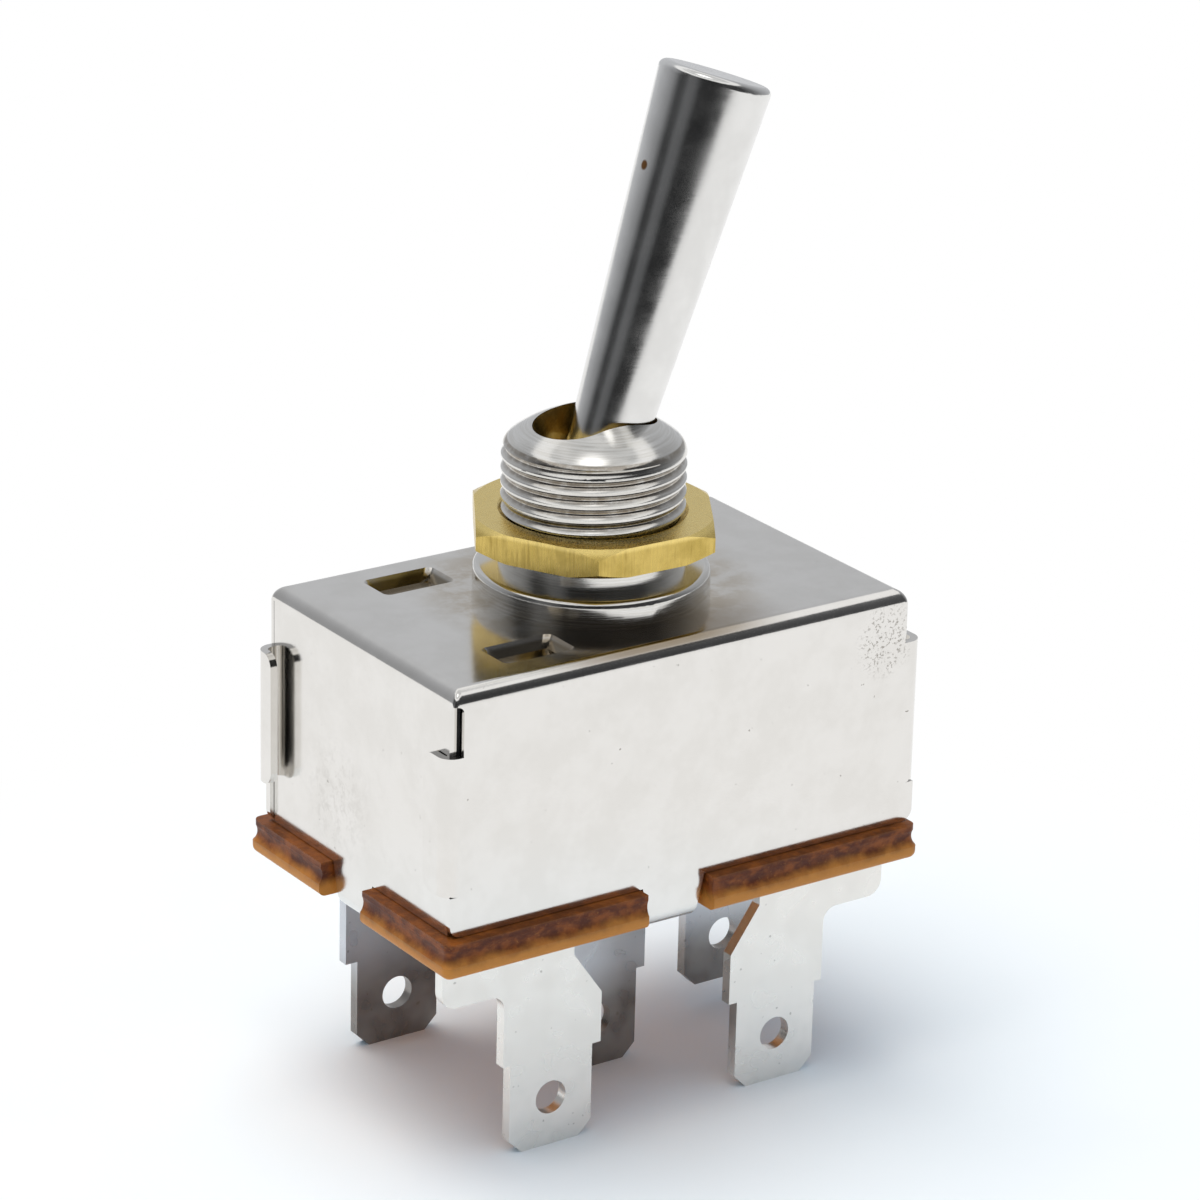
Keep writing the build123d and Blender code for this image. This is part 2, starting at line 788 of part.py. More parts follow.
for sx in (-1, 1):
    peg_at = carriage_x + sx * peg_x
    carriage += upright(peg_at, 0, carriage_top - peg_root, carriage_top + peg_height - peg_root, peg_radius)
save(carriage, "carriage")

# Bridges, their riveted buttons and the springs that press them down.
for sy, name in ((-1, "front"), (1, "rear")):
    y = sy * track_y
    plan = RectangleRounded(bridge_length, bridge_width, bridge_round)
    bridge = Pos(carriage_x, y, bridge_bottom) * extrude(plan, bridge_thickness)
    bridge += Pos(carriage_x, y, bridge_top + boss_height / 2) * Cone(
        boss_low_radius, boss_high_radius, boss_height
    )
    buttons = []
    for sx in (-1, 1):
        x = carriage_x + sx * button_spread
        bridge -= upright(x, y, bridge_bottom - sheet, bridge_top + sheet, shank_radius + shank_gap)
        crown = upright(x, y, pad_top, bridge_bottom, button_radius)
        button = fillet(crown.faces().sort_by(Axis.Z)[0].edges(), button_round)
        button += upright(x, y, bridge_bottom, bridge_top + rivet_height, shank_radius)
        button += upright(x, y, bridge_top, bridge_top + rivet_height, rivet_radius)
        buttons.append(button)
    save(bridge, f"{name}_bridge")
    save(Compound(children=buttons), f"{name}_buttons")
    coil_low = bridge_top + spring_wire_radius
    coil_height = spring_bore_top - spring_wire_radius - coil_low
    coil = Helix(coil_height / spring_turns, coil_height, spring_coil_radius)
    wire_plane = Plane(origin=coil @ 0, z_dir=coil % 0)
    spring = sweep(wire_plane * Circle(spring_wire_radius), path=coil)
    save(Pos(carriage_x, y, coil_low) * spring, f"{name}_contact_spring")

# Detent leaf: two arched strips joined by a bar at each end, pegged to the carriage.
bar_inner = leaf_half_length - leaf_bar
arch_half = bar_inner - leaf_foot
lower_side = [
    (carriage_x - leaf_half_length, carriage_top),
    (carriage_x - arch_half, carriage_top),
    (carriage_x - leaf_crown_half, carriage_top + leaf_rise - leaf_crown_drop),
    (carriage_x, carriage_top + leaf_rise),
    (carriage_x + leaf_crown_half, carriage_top + leaf_rise - leaf_crown_drop),
    (carriage_x + arch_half, carriage_top),
    (carriage_x + leaf_half_length, carriage_top),
]
upper_side = [(u, v + leaf_thickness) for u, v in reversed(lower_side)]
arch_face = make_face(Polyline(*(lower_side + upper_side), close=True))
leaf = tube_y(arch_face, -leaf_half_width, leaf_half_width)
inner_half = leaf_half_width - leaf_strip_width
leaf -= block(
    carriage_x - bar_inner,
    carriage_x + bar_inner,
    -inner_half,
    inner_half,
    carriage_top - sheet,
    carriage_top + 2 * leaf_rise,
)
for sx in (-1, 1):
    hole_x = carriage_x + sx * peg_x
    leaf -= upright(hole_x, 0, carriage_top - sheet, carriage_top + leaf_rise, peg_radius + seat_gap)
save(leaf, "detent_spring")
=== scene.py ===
import math

import bmesh
import bpy
from mathutils import Matrix, Vector


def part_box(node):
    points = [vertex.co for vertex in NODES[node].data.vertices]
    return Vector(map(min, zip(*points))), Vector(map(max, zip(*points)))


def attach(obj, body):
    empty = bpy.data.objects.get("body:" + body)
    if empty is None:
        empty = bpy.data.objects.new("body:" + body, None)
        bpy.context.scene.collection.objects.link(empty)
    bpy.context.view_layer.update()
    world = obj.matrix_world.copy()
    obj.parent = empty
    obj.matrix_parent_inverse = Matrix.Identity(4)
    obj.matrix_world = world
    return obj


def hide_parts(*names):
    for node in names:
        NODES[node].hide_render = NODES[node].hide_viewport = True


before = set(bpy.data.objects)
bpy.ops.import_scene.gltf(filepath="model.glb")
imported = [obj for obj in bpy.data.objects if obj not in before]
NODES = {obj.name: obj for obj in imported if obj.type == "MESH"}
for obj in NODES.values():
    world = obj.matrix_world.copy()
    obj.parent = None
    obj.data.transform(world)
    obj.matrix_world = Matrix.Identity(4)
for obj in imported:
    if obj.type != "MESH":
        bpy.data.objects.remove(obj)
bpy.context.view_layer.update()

MM = 0.001

# Camera of the photograph, found from the edges of the case, bushing and blades.
CAMERA_AZIMUTH = math.radians(34.87)
CAMERA_ELEVATION = math.radians(20.91)
CAMERA_ROLL = math.radians(1.41)
CAMERA_DISTANCE = 320.19 * MM
CAMERA_LENS = 146.71
SENSOR_WIDTH = 36.0
AIM_HEIGHT = 20.168 * MM
AIM_RIGHT = 0.887 * MM
AIM_UP = 11.607 * MM

# Thread cut into the bushing's crest cylinder, heights counted from the case's top.
THREAD_PITCH = 0.92 * MM
THREAD_DEPTH = 0.32 * MM
THREAD_CREST = 5.97 * MM
THREAD_HALF = 0.43 * MM
THREAD_OUTSIDE = 0.05 * MM
THREAD_ARC = 0.85 * math.pi
THREAD_LOW = 4.58 * MM
THREAD_HIGH = 10.30 * MM
THREAD_FADE_TURNS = 0.8
SECTION_STEPS = 12
STEPS_PER_TURN = 120
BORE_SIDE = 5.2 * MM
MERGE_DISTANCE = 0.0005 * MM
SHARP_ANGLE = math.radians(32)

# Studio, in metres.
FLOOR_RADIUS = 4.0
FLOOR_PLAIN_START = 0.026
FLOOR_PLAIN_END = 0.062
WALL_RADIUS = 0.42
WALL_HEIGHT = 0.46
CEILING_RADIUS = 0.34
CEILING_HEIGHT = 0.62
SKYLIGHT_HALF = 0.16
SKYLIGHT_CORE = 0.04
SKYLIGHT_PLACE = (-0.055, -0.055, 0.60)
SOFTBOX_PLACE = (-0.14, 0.10, 0.80)
SOFTBOX_SIZE = (0.80, 0.60)
SOFTBOX_POWER = 5.7
SOFTBOX_COLOUR = (1.0, 0.94, 0.86)
SOFTBOX_TARGET = (0, 0, 0.03)
SKY_STRENGTH = 0.60

# Brightness of the wall at its turns in degrees, counted from the photographed long side.
WALL_TONES = [
    (-180, 0.58),
    (-150, 0.42),
    (-125, 0.26),
    (-108, 0.05),
    (-96, 0.06),
    (-86, 0.14),
    (-72, 0.12),
    (-60, 0.03),
    (-35, 0.025),
    (-5, 0.05),
    (30, 0.045),
    (60, 0.17),
    (85, 0.36),
    (120, 0.52),
    (145, 0.58),
    (180, 0.58),
]


class Shader:
    """Small helper that adds and links the nodes of one material."""

    def __init__(self, tree):
        self.tree = tree
        tree.nodes.clear()

    def node(self, kind, **settings):
        made = self.tree.nodes.new(kind)
        for key, value in settings.items():
            setattr(made, key, value)
        return made

    def put(self, made, name, value):
        """Set an input to a number or link it to another node's output."""
        socket = made.inputs[name]
        if isinstance(value, bpy.types.NodeSocket):
            self.tree.links.new(value, socket)
        else:
            socket.default_value = value

    def place(self):
        """Place on the object in metres, the same at every pose."""
        return self.node("ShaderNodeTexCoord").outputs["Object"]

    def millimetres(self):
        """Place on the object in millimetres, the same at every pose."""
        place = self.place()
        scaled = self.node("ShaderNodeVectorMath", operation="SCALE")
        self.put(scaled, "Vector", place)
        self.put(scaled, "Scale", 1000.0)
        return scaled.outputs["Vector"]

    def stretch(self, place, factors):
        scaled = self.node("ShaderNodeVectorMath", operation="MULTIPLY")
        self.put(scaled, 0, place)
        self.put(scaled, 1, factors)
        return scaled.outputs["Vector"]

    def shift(self, place, offset):
        moved = self.node("ShaderNodeVectorMath", operation="ADD")
        self.put(moved, 0, place)
        self.put(moved, 1, offset)
        return moved.outputs["Vector"]

    def axis(self, place, name):
        split = self.node("ShaderNodeSeparateXYZ")
        self.put(split, "Vector", place)
        return split.outputs[name]

    def length(self, place):
        measured = self.node("ShaderNodeVectorMath", operation="LENGTH")
        self.put(measured, 0, place)
        return measured.outputs["Value"]

    def noise(self, place, scale, detail, roughness):
        made = self.node("ShaderNodeTexNoise")
        self.put(made, "Vector", place)
        self.put(made, "Scale", scale)
        self.put(made, "Detail", detail)
        self.put(made, "Roughness", roughness)
        return made.outputs["Fac"]

    def ramp(self, value, low, high, out_low=0.0, out_high=1.0):
        """Smooth step of a value from one range to another."""
        made = self.node("ShaderNodeMapRange", interpolation_type="SMOOTHSTEP")
        self.put(made, "Value", value)
        self.put(made, "From Min", low)
        self.put(made, "From Max", high)
        self.put(made, "To Min", out_low)
        self.put(made, "To Max", out_high)
        return made.outputs["Result"]

    def math(self, operation, a, b=0.0):
        made = self.node("ShaderNodeMath", operation=operation)
        self.put(made, 0, a)
        self.put(made, 1, b)
        return made.outputs["Value"]

    def times(self, a, b):
        return self.math("MULTIPLY", a, b)

    def mix(self, share, a, b):
        """Colour between a and b."""
        made = self.node("ShaderNodeMix", data_type="RGBA", blend_type="MIX")
        self.put(made, "Factor", share)
        self.put(made, 6, a)
        self.put(made, 7, b)
        return made.outputs[2]

    def bump(self, height, distance, strength):
        made = self.node("ShaderNodeBump")
        self.put(made, "Height", height)
        self.put(made, "Distance", distance)
        self.put(made, "Strength", strength)
        return made.outputs["Normal"]

    def surface(self, **inputs):
        """Principled surface; a keyword's underscores stand for spaces."""
        shader = self.node("ShaderNodeBsdfPrincipled")
        for key, value in inputs.items():
            self.put(shader, key.replace("_", " "), value)
        output = self.node("ShaderNodeOutputMaterial")
        self.put(output, "Surface", shader.outputs["BSDF"])

    def glow(self, colour, strength=1.0):
        """Surface of a room piece, which gives off its own even light."""
        shader = self.node("ShaderNodeEmission")
        self.put(shader, "Color", colour)
        self.put(shader, "Strength", strength)
        output = self.node("ShaderNodeOutputMaterial")
        self.put(output, "Surface", shader.outputs[0])

    def seen(self):
        """1 for camera, glossy and transmission rays, which see the plain white background."""
        rays = self.node("ShaderNodeLightPath")
        seen = self.math("MAXIMUM", rays.outputs["Is Camera Ray"], rays.outputs["Is Glossy Ray"])
        return self.math("MAXIMUM", seen, rays.outputs["Is Transmission Ray"])

    def blend(self, share, first, second):
        """Shader between the first and the second."""
        made = self.node("ShaderNodeMixShader")
        self.put(made, "Fac", share)
        self.put(made, 1, first.outputs[0])
        self.put(made, 2, second.outputs[0])
        return made.outputs[0]


def material(name):
    made = bpy.data.materials.new(name)
    made.use_nodes = True
    return made, Shader(made.node_tree)


def rgb(red, green, blue):
    return (red, green, blue, 1.0)


WHITE = rgb(1.0, 1.0, 1.0)


def plated_sheet():
    """Nickel-plated steel sheet: satin and faintly mottled, with wear and dirt where the photo has them, a
    painted dark reflection in the dimples, and brown tones on the top.
    """
    made, s = material("nickel_sheet")
    place = s.millimetres()
    mottle = s.noise(place, 0.30, 4.0, 0.6)
    grain = s.noise(place, 7.0, 2.0, 0.5)
    colour = s.mix(s.ramp(mottle, 0.35, 0.65), rgb(0.765, 0.748, 0.718), rgb(0.808, 0.792, 0.765))
    # Scattered specks, a worn patch high on the long side and a smudge low on the short side.
    specks = s.ramp(s.noise(place, 2.3, 2.0, 0.6), 0.745, 0.775)
    worn_spot = s.length(s.shift(s.stretch(place, (1.0, 0.5, 0.9)), (-15.7, 5.5, -27.3)))
    worn = s.ramp(worn_spot, 2.7, 1.2)
    worn_grain = s.ramp(s.noise(place, 4.2, 4.0, 0.70), 0.54, 0.61)
    smudge_spot = s.length(s.shift(s.stretch(place, (0.5, 0.6, 0.6)), (8.8, -1.6, -12.9)))
    smudge_grain = s.ramp(s.noise(place, 1.8, 4.0, 0.65), 0.42, 0.68, 0.0, 0.22)
    smudge = s.times(s.ramp(smudge_spot, 3.2, 0.6), smudge_grain)
    dark = s.math("MAXIMUM", specks, s.times(worn, worn_grain))
    dark = s.math("MAXIMUM", dark, smudge)
    colour = s.mix(s.times(dark, 0.72), colour, rgb(0.22, 0.20, 0.17))
    # Painted dark reflection in the two dimples of the top.
    height = s.axis(place, "Z")
    dimple_painted_reflection = s.times(s.ramp(height, 33.46, 33.15), s.ramp(height, 32.4, 32.6))
    near_dimples = s.ramp(s.math("ABSOLUTE", s.math("ADD", s.axis(place, "X"), 9.5)), 3.2, 2.8)
    dimple_painted_reflection = s.times(dimple_painted_reflection, near_dimples)
    across = s.math("ABSOLUTE", s.axis(place, "Y"))
    dimple_painted_reflection = s.times(dimple_painted_reflection, s.ramp(across, 9.2, 8.9, 0.0, 0.85))
    colour = s.mix(dimple_painted_reflection, colour, rgb(0.20, 0.16, 0.10))
    # Brown tone round the bushing, and a darker brown patch on the top in front of it.
    ring = s.length(s.stretch(place, (1.0, 1.0, 0.0)))
    brown_ring = s.times(s.ramp(ring, 12.5, 8.0), s.ramp(height, 33.3, 33.4))
    brown_ring = s.times(brown_ring, s.ramp(s.noise(place, 0.5, 3.0, 0.6), 0.35, 0.65, 0.15, 0.6))
    colour = s.mix(brown_ring, colour, rgb(0.42, 0.33, 0.20))
    front_patch_spot = s.length(s.stretch(s.shift(place, (1.5, 9.0, 0.0)), (0.10, 0.19, 0.0)))
    front_patch = s.times(s.ramp(front_patch_spot, 1.15, 0.35, 0.0, 0.78), s.ramp(height, 33.0, 33.3))
    colour = s.mix(front_patch, colour, rgb(0.20, 0.14, 0.07))
    rough = s.ramp(mottle, 0.3, 0.7, 0.12, 0.16)
    normal = s.bump(grain, 0.003 * MM, 0.5)
    s.surface(Base_Color=colour, Metallic=1.0, Roughness=rough, Normal=normal)
    return made


def turned_nickel():
    """Nickel on the turned bushing: fine turning rings, and a darker brown at the bottom of the thread."""
    made, s = material("nickel_turned")
    place = s.millimetres()
    rings = s.noise(s.stretch(place, (0.15, 0.15, 6.0)), 2.0, 2.0, 0.5)
    nickel = s.mix(s.ramp(rings, 0.35, 0.65), rgb(0.70, 0.685, 0.65), rgb(0.79, 0.78, 0.755))
    radius = s.length(s.stretch(place, (1.0, 1.0, 0.0)))
    height = s.axis(place, "Z")
    # Darker brown in the thread's roots above the nut.
    root_tone = s.times(s.ramp(radius, 5.93, 5.68), s.ramp(height, 38.6, 38.9))
    root_tone = s.times(root_tone, s.ramp(radius, 5.55, 5.62))
    root_tone = s.times(root_tone, s.ramp(s.noise(place, 1.6, 4.0, 0.6), 0.25, 0.60, 0.25, 0.70))
    nickel = s.mix(root_tone, nickel, rgb(0.25, 0.205, 0.15))
    rough = s.ramp(rings, 0.3, 0.7, 0.12, 0.20)
    normal = s.bump(rings, 0.006 * MM, 0.4)
    s.surface(Base_Color=nickel, Metallic=1.0, Roughness=rough, Normal=normal)
    return made


def bare_bore():
    """Bare yellow brass of the bushing's bore and slot."""
    made, s = material("bare_bore")
    place = s.millimetres()
    cloud = s.noise(place, 1.2, 3.0, 0.6)
    colour = s.mix(s.ramp(cloud, 0.35, 0.65), rgb(0.62, 0.44, 0.14), rgb(0.80, 0.60, 0.22))
    normal = s.bump(s.noise(s.stretch(place, (0.4, 0.4, 6.0)), 3.0, 2.0, 0.5), 0.01 * MM, 0.4)
    s.surface(Base_Color=colour, Metallic=1.0, Roughness=0.28, Normal=normal)
    return made


def yellow_brass():
    """Bare yellow brass of the nut: upright milling marks, faint tarnish and a painted highlight on its top.
    """
    made, s = material("yellow_brass")
    place = s.millimetres()
    tarnish = s.noise(place, 0.7, 4.0, 0.6)
    marks = s.noise(s.stretch(place, (1.0, 1.0, 0.08)), 5.0, 3.0, 0.6)
    colour = s.mix(s.ramp(tarnish, 0.35, 0.7), rgb(0.68, 0.505, 0.15), rgb(0.54, 0.395, 0.105))
    colour = s.mix(s.ramp(marks, 0.58, 0.72, 0.0, 0.5), colour, rgb(0.42, 0.28, 0.06))
    # Painted highlight: lighter colour over the nut's top and chamfer.
    colour = s.mix(s.ramp(s.axis(place, "Z"), 38.6, 38.9, 0.0, 0.8), colour, rgb(0.95, 0.74, 0.27))
    rough = s.ramp(marks, 0.3, 0.7, 0.22, 0.34)
    normal = s.bump(marks, 0.010 * MM, 0.5)
    s.surface(Base_Color=colour, Metallic=1.0, Roughness=rough, Normal=normal)
    return made


def polished_chrome():
    """Polished plating on the lever, with a tiny rust speck and fine turning rings."""
    made, s = material("polished_plating")
    place = s.millimetres()
    rings = s.noise(s.stretch(place, (0.3, 0.3, 5.0)), 2.0, 3.0, 0.6)
    haze = s.noise(place, 0.5, 3.0, 0.5)
    colour = s.mix(s.ramp(haze, 0.3, 0.7), rgb(0.74, 0.735, 0.72), rgb(0.80, 0.795, 0.78))
    spot = s.length(s.shift(place, (-3.37, -0.12, -61.19)))
    colour = s.mix(s.ramp(spot, 0.40, 0.22), colour, rgb(0.22, 0.10, 0.03))
    rough = s.ramp(haze, 0.3, 0.7, 0.13, 0.19)
    normal = s.bump(rings, 0.004 * MM, 0.4)
    s.surface(Base_Color=colour, Metallic=1.0, Roughness=rough, Normal=normal)
    return made


def amber_phenolic():
    """Moulded phenolic: brown and blotched from the groove up, partly its own colour and partly painted
    shade under the case, bright amber at the lower lip.
    """
    made, s = material("amber_phenolic")
    place = s.millimetres()
    height = s.axis(place, "Z")
    cloud = s.noise(place, 0.55, 4.0, 0.6)
    blotch = s.noise(s.stretch(place, (1.0, 1.0, 1.6)), 0.75, 4.0, 0.6)
    fine = s.noise(place, 6.0, 3.0, 0.6)
    lip = rgb(0.57, 0.22, 0.038)
    # Dark brown body: partly the phenolic's own brown, partly painted shade under the case; the top rim's
    # edge is lighter again.
    body = rgb(0.090, 0.017, 0.004)
    warm = rgb(0.27, 0.068, 0.010)
    wavy = s.math("ADD", height, s.times(s.math("SUBTRACT", cloud, 0.5), 1.1))
    upper_brown_and_shade = s.mix(s.ramp(blotch, 0.38, 0.70), body, warm)
    upper_brown_and_shade = s.mix(s.ramp(height, 16.8, 17.6, 0.0, 0.50), upper_brown_and_shade, lip)
    colour = s.mix(s.ramp(wavy, 15.15, 16.2), lip, upper_brown_and_shade)
    colour = s.mix(s.ramp(fine, 0.58, 0.78, 0.0, 0.35), colour, rgb(0.55, 0.22, 0.05))
    normal = s.bump(s.math("ADD", fine, blotch), 0.03 * MM, 0.6)
    s.surface(Base_Color=colour, Roughness=0.42, Specular_IOR_Level=0.25, Normal=normal)
    return made


def terminal_plating(name, dark, light, top):
    """Plated strip of a blade: clouded, with a few specks, and another tone towards the base."""
    made, s = material(name)
    place = s.millimetres()
    cloud = s.noise(place, 0.6, 1.0, 0.5)
    specks = s.ramp(s.noise(place, 2.6, 0.0, 0.5), 0.79, 0.85)
    colour = s.mix(s.ramp(cloud, 0.30, 0.70), dark, light)
    colour = s.mix(s.ramp(s.axis(place, "Z"), 3.5, 8.0), colour, top)
    colour = s.mix(s.times(specks, 0.4), colour, rgb(0.16, 0.14, 0.12))
    rough = s.ramp(cloud, 0.3, 0.7, 0.26, 0.36)
    normal = s.bump(s.noise(place, 1.3, 1.0, 0.5), 0.006 * MM, 0.5)
    s.surface(Base_Color=colour, Metallic=1.0, Roughness=rough, Normal=normal)
    return made


def plain_metal(name, light, dark, rough_low, rough_high):
    """Metal of an inner piece, with clouded tone and fine grain."""
    made, s = material(name)
    place = s.millimetres()
    cloud = s.noise(place, 0.9, 4.0, 0.6)
    colour = s.mix(s.ramp(cloud, 0.35, 0.65), light, dark)
    rough = s.ramp(cloud, 0.3, 0.7, rough_low, rough_high)
    normal = s.bump(s.noise(place, 10.0, 3.0, 0.6), 0.005 * MM, 0.5)
    s.surface(Base_Color=colour, Metallic=1.0, Roughness=rough, Normal=normal)
    return made


def plain_moulding(name, light, dark, rough):
    """Moulding or fibre of an inner piece, with clouded tone and fine grain."""
    made, s = material(name)
    place = s.millimetres()
    cloud = s.noise(place, 0.8, 4.0, 0.6)
    colour = s.mix(s.ramp(cloud, 0.35, 0.65), light, dark)
    normal = s.bump(s.noise(place, 7.0, 3.0, 0.6), 0.02 * MM, 0.5)
    s.surface(Base_Color=colour, Roughness=rough, Normal=normal)
    return made


def dress_nodes():
    """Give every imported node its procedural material."""
    sheet = plated_sheet()
    turned = turned_nickel()
    strip = terminal_plating(
        "plated_strip", rgb(0.81, 0.79, 0.755), rgb(0.88, 0.855, 0.82), rgb(0.84, 0.815, 0.775)
    )
    # Darker copy of the plating for the rear blades: painted shade under the case, turning a lighter bluish
    # grey towards the base.
    painted_shade_strip = terminal_plating(
        "painted_shade_strip", rgb(0.25, 0.23, 0.215), rgb(0.33, 0.31, 0.29), rgb(0.62, 0.63, 0.66)
    )
    steel = plain_metal("bright_steel", rgb(0.62, 0.62, 0.61), rgb(0.50, 0.50, 0.49), 0.22, 0.32)
    spring = plain_metal("spring_steel", rgb(0.48, 0.47, 0.45), rgb(0.36, 0.35, 0.33), 0.25, 0.36)
    copper = plain_metal("contact_copper", rgb(0.78, 0.42, 0.26), rgb(0.62, 0.31, 0.18), 0.24, 0.38)
    silver = plain_metal("contact_silver", rgb(0.86, 0.84, 0.80), rgb(0.72, 0.70, 0.66), 0.20, 0.34)
    dark_moulding = plain_moulding("dark_phenolic", rgb(0.050, 0.032, 0.022), rgb(0.075, 0.048, 0.032), 0.45)
    # Near-black liner: painted shade, so the case's corner slots read dark.
    fibre = plain_moulding("fibre_in_painted_shade", rgb(0.030, 0.027, 0.024), rgb(0.050, 0.045, 0.040), 0.80)
    dressing = {
        "case": sheet,
        "bushing": turned,
        "hex_nut": yellow_brass(),
        "lever": polished_chrome(),
        "base": amber_phenolic(),
        "pivot_pin": steel,
        "pivot_sleeve": steel,
        "case_liner": fibre,
        "inner_cover": dark_moulding,
        "carriage": dark_moulding,
        "detent_spring": spring,
        "front_contact_spring": spring,
        "rear_contact_spring": spring,
        "front_bridge": copper,
        "rear_bridge": copper,
        "front_buttons": silver,
        "rear_buttons": silver,
        "terminal_front_left": strip,
        "terminal_front_right": strip,
        "terminal_rear_left": painted_shade_strip,
        "terminal_centre": painted_shade_strip,
        "terminal_rear_right": painted_shade_strip,
    }
    for name, node in NODES.items():
        node.data.materials.clear()
        node.data.materials.append(dressing[name])


def new_object(name, data):
    made = bpy.data.objects.new(name, data)
    bpy.context.scene.collection.objects.link(made)
    return made


def new_mesh(name, shape):
    """Mesh made from a bmesh, which is freed."""
    mesh = bpy.data.meshes.new(name)
    shape.to_mesh(mesh)
    shape.free()
    return mesh


def groove_section(share):
    """Corners of the groove's rounded section; share is 0 where it runs out, 1 at full depth."""
    outer = THREAD_CREST + THREAD_OUTSIDE
    edge = outer - THREAD_OUTSIDE / 2
    reach = (THREAD_DEPTH + THREAD_OUTSIDE / 2) * share
    corners = [(outer, THREAD_HALF)]
    for step in range(SECTION_STEPS + 1):
        along = 1 - 2 * step / SECTION_STEPS
        bow = math.cos(along * THREAD_ARC) - math.cos(THREAD_ARC)
        radius = edge - reach * bow / (1 - math.cos(THREAD_ARC))
        corners.append((radius, along * THREAD_HALF))
    corners.append((outer, -THREAD_HALF))
    return corners


def groove_mesh(low, high):
    """Helical body with the rounded section of one thread groove, running out at the top."""
    turns = (high - low) / THREAD_PITCH
    steps = round(turns * STEPS_PER_TURN)
    shape = bmesh.new()
    rings = []
    for step in range(steps + 1):
        turn = turns * step / steps
        angle = 2 * math.pi * turn
        height = low + THREAD_PITCH * turn
        ring = []
        for radius, rise in groove_section(min(1.0, (turns - turn) / THREAD_FADE_TURNS)):
            spot = (radius * math.cos(angle), radius * math.sin(angle), height + rise)
            ring.append(shape.verts.new(spot))
        rings.append(ring)
    for low_ring, high_ring in zip(rings, rings[1:]):
        for index in range(len(low_ring)):
            after = (index + 1) % len(low_ring)
            shape.faces.new((low_ring[index], high_ring[index], high_ring[after], low_ring[after]))
    shape.faces.new(rings[0])
    shape.faces.new(reversed(rings[-1]))
    bmesh.ops.recalc_face_normals(shape, faces=shape.faces)
    return new_mesh("thread_groove", shape)


def bushing_blank():
    """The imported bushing's body with its vertices joined and its stored normals left out."""
    mesh = NODES["bushing"].data.copy()
    mesh.attributes.remove(mesh.attributes["custom_normal"])
    shape = bmesh.new()
    shape.from_mesh(mesh)
    bmesh.ops.remove_doubles(shape, verts=shape.verts, dist=MERGE_DISTANCE)
    shape.to_mesh(mesh)
    shape.free()
    return new_object("bushing_blank", mesh)


def thread_bushing(turned, brass):
    """Stand-in for the bushing: the same body with its thread cut, and bare brass in the bore."""
    case_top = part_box("case")[1][2]
    blank = bushing_blank()
    cutter = new_object("thread_cutter", groove_mesh(case_top + THREAD_LOW, case_top + THREAD_HIGH))
    cut = blank.modifiers.new("thread", "BOOLEAN")
    cut.operation = "DIFFERENCE"
    cut.solver = "EXACT"
    cut.object = cutter
    bpy.context.view_layer.update()
    evaluated = blank.evaluated_get(bpy.context.evaluated_depsgraph_get())
    cut_mesh = bpy.data.meshes.new_from_object(evaluated)
    bpy.data.objects.remove(blank)
    bpy.data.objects.remove(cutter)
    cut_mesh.materials.clear()
    cut_mesh.materials.append(turned)
    cut_mesh.materials.append(brass)
    for face in cut_mesh.polygons:
        flat = Vector((face.center.x, face.center.y))
        inward = face.normal.x * flat.x + face.normal.y * flat.y < 0
        face.material_index = 1 if inward and flat.length < BORE_SIDE else 0
        face.use_smooth = True
    cut_mesh.set_sharp_from_angle(angle=SHARP_ANGLE)
    piece = new_object("threaded_bushing", cut_mesh)
    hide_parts("bushing")
    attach(piece, "housing")


def add_stage():
    """White floor that keeps the shadow near the object and is plain white further out."""
    shape = bmesh.new()
    bmesh.ops.create_circle(shape, cap_ends=True, radius=FLOOR_RADIUS, segments=64)
    floor = new_object("floor", new_mesh("floor", shape))
    made, s = material("floor_paper")
    place = s.place()
    paper = s.noise(place, 60.0, 3.0, 0.5)
    diffuse = s.node("ShaderNodeBsdfDiffuse")
    s.put(diffuse, "Color", s.mix(s.ramp(paper, 0.3, 0.7), rgb(0.945, 0.945, 0.94), rgb(0.965, 0.965, 0.96)))
    white = s.node("ShaderNodeEmission")
    s.put(white, "Color", WHITE)
    seen = s.seen()
    far = s.ramp(s.length(place), FLOOR_PLAIN_START, FLOOR_PLAIN_END)
    output = s.node("ShaderNodeOutputMaterial")
    s.put(output, "Surface", s.blend(s.times(seen, far), diffuse, white))
    floor.data.materials.append(made)


def show_in_metal_only(piece, made):
    """Dress a piece of the room, and hide it from all but the reflections."""
    piece.data.materials.append(made)
    piece.visible_camera = False
    piece.visible_diffuse = False
    piece.visible_shadow = False


def add_wall():
    """Dim room round the floor, which only the metal's reflections show."""
    shape = bmesh.new()
    bmesh.ops.create_cone(
        shape,
        cap_ends=False,
        segments=96,
        radius1=WALL_RADIUS,
        radius2=WALL_RADIUS,
        depth=WALL_HEIGHT,
        matrix=Matrix.Translation((0, 0, WALL_HEIGHT / 2)),
    )
    wall = new_object("room_wall", new_mesh("room_wall", shape))
    made, s = material("room_wall")
    place = s.place()
    angle = s.math("ARCTAN2", s.axis(place, "X"), s.times(s.axis(place, "Y"), -1.0))
    turn = s.times(angle, 180.0 / math.pi)
    tone = s.node("ShaderNodeValToRGB")
    s.put(tone, "Fac", s.math("DIVIDE", s.math("ADD", turn, 180.0), 360.0))
    ramp = tone.color_ramp
    ramp.elements[0].position = 0.0
    ramp.elements[1].position = 1.0
    for degrees, level in WALL_TONES[1:-1]:
        ramp.elements.new((degrees + 180) / 360)
    for element, (degrees, level) in zip(ramp.elements, WALL_TONES):
        element.color = rgb(0.97 * level, 0.99 * level, 1.03 * level)
    s.glow(tone.outputs["Color"])
    show_in_metal_only(wall, made)


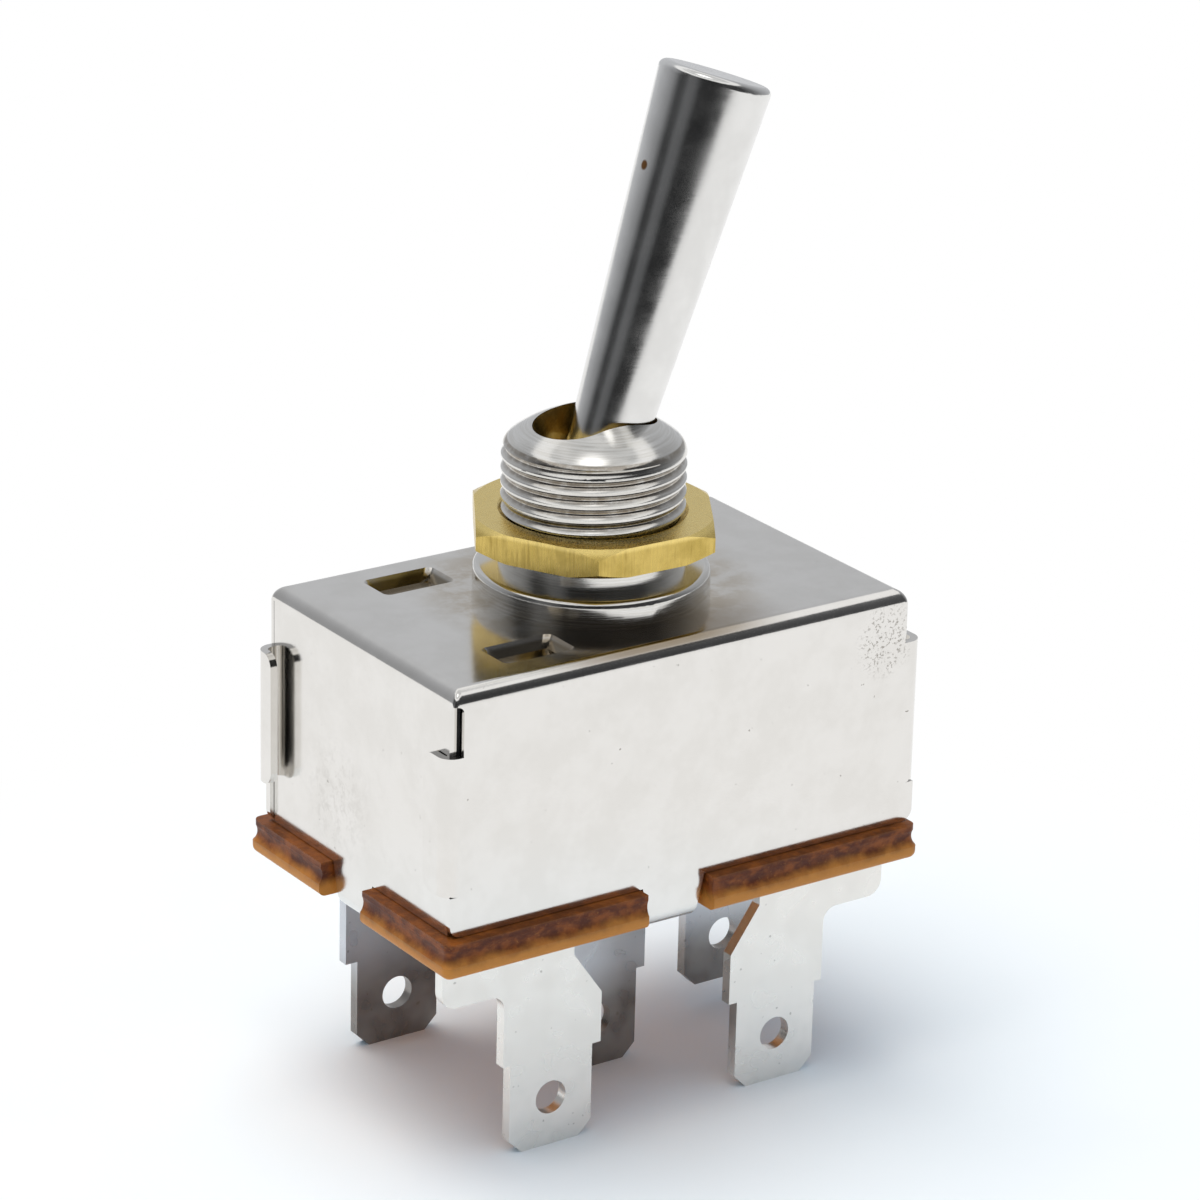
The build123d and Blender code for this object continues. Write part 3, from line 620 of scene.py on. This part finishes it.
def add_ceiling():
    """Pale grey ceiling, which only the metal's reflections show."""
    shape = bmesh.new()
    middle = Matrix.Translation((0, 0, CEILING_HEIGHT))
    bmesh.ops.create_circle(shape, cap_ends=True, radius=CEILING_RADIUS, segments=64, matrix=middle)
    ceiling = new_object("room_ceiling", new_mesh("room_ceiling", shape))
    made, s = material("room_ceiling")
    patchy = s.noise(s.place(), 5.0, 2.0, 0.5)
    s.glow(s.mix(s.ramp(patchy, 0.35, 0.65), rgb(0.52, 0.53, 0.54), rgb(0.78, 0.78, 0.78)))
    show_in_metal_only(ceiling, made)


def add_skylight():
    """Soft bright patch overhead, which only the metal's highlights show."""
    shape = bmesh.new()
    turned = Matrix.Translation(SKYLIGHT_PLACE) @ Matrix.Rotation(-CAMERA_AZIMUTH, 4, "Z")
    bmesh.ops.create_grid(shape, x_segments=1, y_segments=1, size=SKYLIGHT_HALF, matrix=turned)
    skylight = new_object("skylight", new_mesh("skylight", shape))
    made, s = material("skylight")
    from_middle = s.length(s.shift(s.place(), [-value for value in SKYLIGHT_PLACE]))
    s.glow(WHITE, s.ramp(from_middle, SKYLIGHT_HALF, SKYLIGHT_CORE, 0.65, 2.0))
    show_in_metal_only(skylight, made)


def add_softbox():
    """Large warm softbox overhead, which lights the object and doesn't show in the metal."""
    lamp = bpy.data.lights.new("softbox", "AREA")
    lamp.shape = "RECTANGLE"
    lamp.size, lamp.size_y = SOFTBOX_SIZE
    lamp.energy = SOFTBOX_POWER
    lamp.color = SOFTBOX_COLOUR
    softbox = new_object("softbox", lamp)
    softbox.location = SOFTBOX_PLACE
    softbox.rotation_mode = "QUATERNION"
    beam = Vector(SOFTBOX_TARGET) - softbox.location
    softbox.rotation_quaternion = beam.to_track_quat("-Z", "Y")
    softbox.visible_glossy = False


def add_world():
    """Pale blue light from all round, seen as plain white."""
    world = bpy.data.worlds.new("studio")
    bpy.context.scene.world = world
    world.use_nodes = True
    s = Shader(world.node_tree)
    seen = s.seen()
    light = s.node("ShaderNodeBackground")
    s.put(light, "Color", rgb(0.60, 0.80, 1.0))
    s.put(light, "Strength", SKY_STRENGTH)
    white = s.node("ShaderNodeBackground")
    s.put(white, "Color", WHITE)
    s.put(white, "Strength", 1.0)
    output = s.node("ShaderNodeOutputWorld")
    s.put(output, "Surface", s.blend(seen, light, white))


def add_camera():
    """Camera at the photograph's place, turned by its roll."""
    ca, sa = math.cos(CAMERA_AZIMUTH), math.sin(CAMERA_AZIMUTH)
    ce, se = math.cos(CAMERA_ELEVATION), math.sin(CAMERA_ELEVATION)
    back = Vector((-sa * ce, -ca * ce, se))
    level_right = Vector((ca, -sa, 0))
    level_up = back.cross(level_right)
    cr, sr = math.cos(CAMERA_ROLL), math.sin(CAMERA_ROLL)
    right = cr * level_right + sr * level_up
    up = -sr * level_right + cr * level_up
    target = Vector((0, 0, AIM_HEIGHT)) + AIM_RIGHT * right + AIM_UP * up
    lens = bpy.data.cameras.new("photo_camera")
    lens.lens = CAMERA_LENS
    lens.sensor_width = SENSOR_WIDTH
    lens.clip_start = 0.01
    lens.clip_end = 50.0
    camera = new_object("photo_camera", lens)
    turned = Matrix((right, up, back)).transposed().to_4x4()
    camera.matrix_world = Matrix.Translation(target + CAMERA_DISTANCE * back) @ turned
    bpy.context.scene.camera = camera


dress_nodes()
thread_bushing(NODES["bushing"].data.materials[0], bare_bore())
add_stage()
add_wall()
add_ceiling()
add_skylight()
add_softbox()
add_world()
add_camera()

bpy.context.scene.view_settings.view_transform = "Standard"
